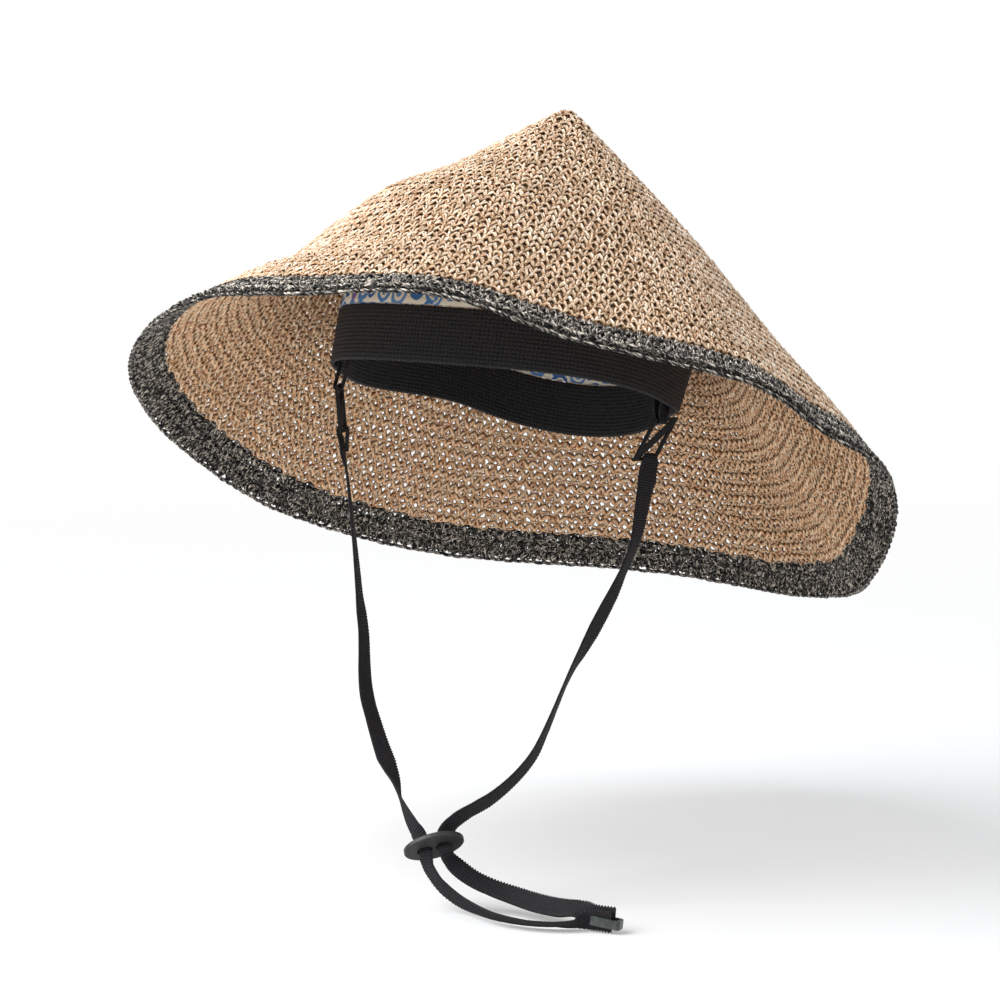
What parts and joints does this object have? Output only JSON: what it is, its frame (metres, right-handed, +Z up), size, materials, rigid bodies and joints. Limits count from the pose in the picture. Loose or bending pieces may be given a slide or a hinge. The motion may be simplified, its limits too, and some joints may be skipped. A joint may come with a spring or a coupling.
{
  "type": "conical straw hat",
  "caption": "Knitted conical sun hat with a dark border, an inner headband on a fabric lining and an adjustable flat chin strap",
  "frame": {"origin": "The head seat: the middle of the headband ring, where a wearer's head sits.", "axes": "+Z up as worn. The wearer faces -Y and the wearer's left is +X. The cone leans back by 25 degrees and the headband by 18."},
  "size_m": [0.3288, 0.3424, 0.3273],
  "materials": {
    "crown_knit": "twisted paper yarn, stocking stitch",
    "brim_border": "charcoal paper yarn with pale flecks",
    "rim_edge": "chained charcoal paper yarn with pale flecks",
    "headband": "ribbed elastic",
    "lining": "printed cotton",
    "tab_left": "satin ribbon",
    "tab_right": "satin ribbon",
    "hook_left": "moulded satin",
    "hook_right": "moulded satin",
    "chin_strap_left": "flat knitted elastic",
    "chin_strap_right": "flat knitted elastic",
    "stopper": "moulded matt",
    "end_clip": "drawn, faint lengthways lines"
  },
  "bodies": {
    "root": {"crown_knit": "crown_knit", "brim_border": "brim_border", "rim_edge": "rim_edge", "headband": "headband", "lining": "lining", "tab_left": "tab_left", "tab_right": "tab_right", "hook_left": "hook_left", "hook_right": "hook_right", "chin_strap_left": "chin_strap_left", "chin_strap_right": "chin_strap_right", "stopper": "stopper", "end_clip": "end_clip"}
  },
  "joints": []
}
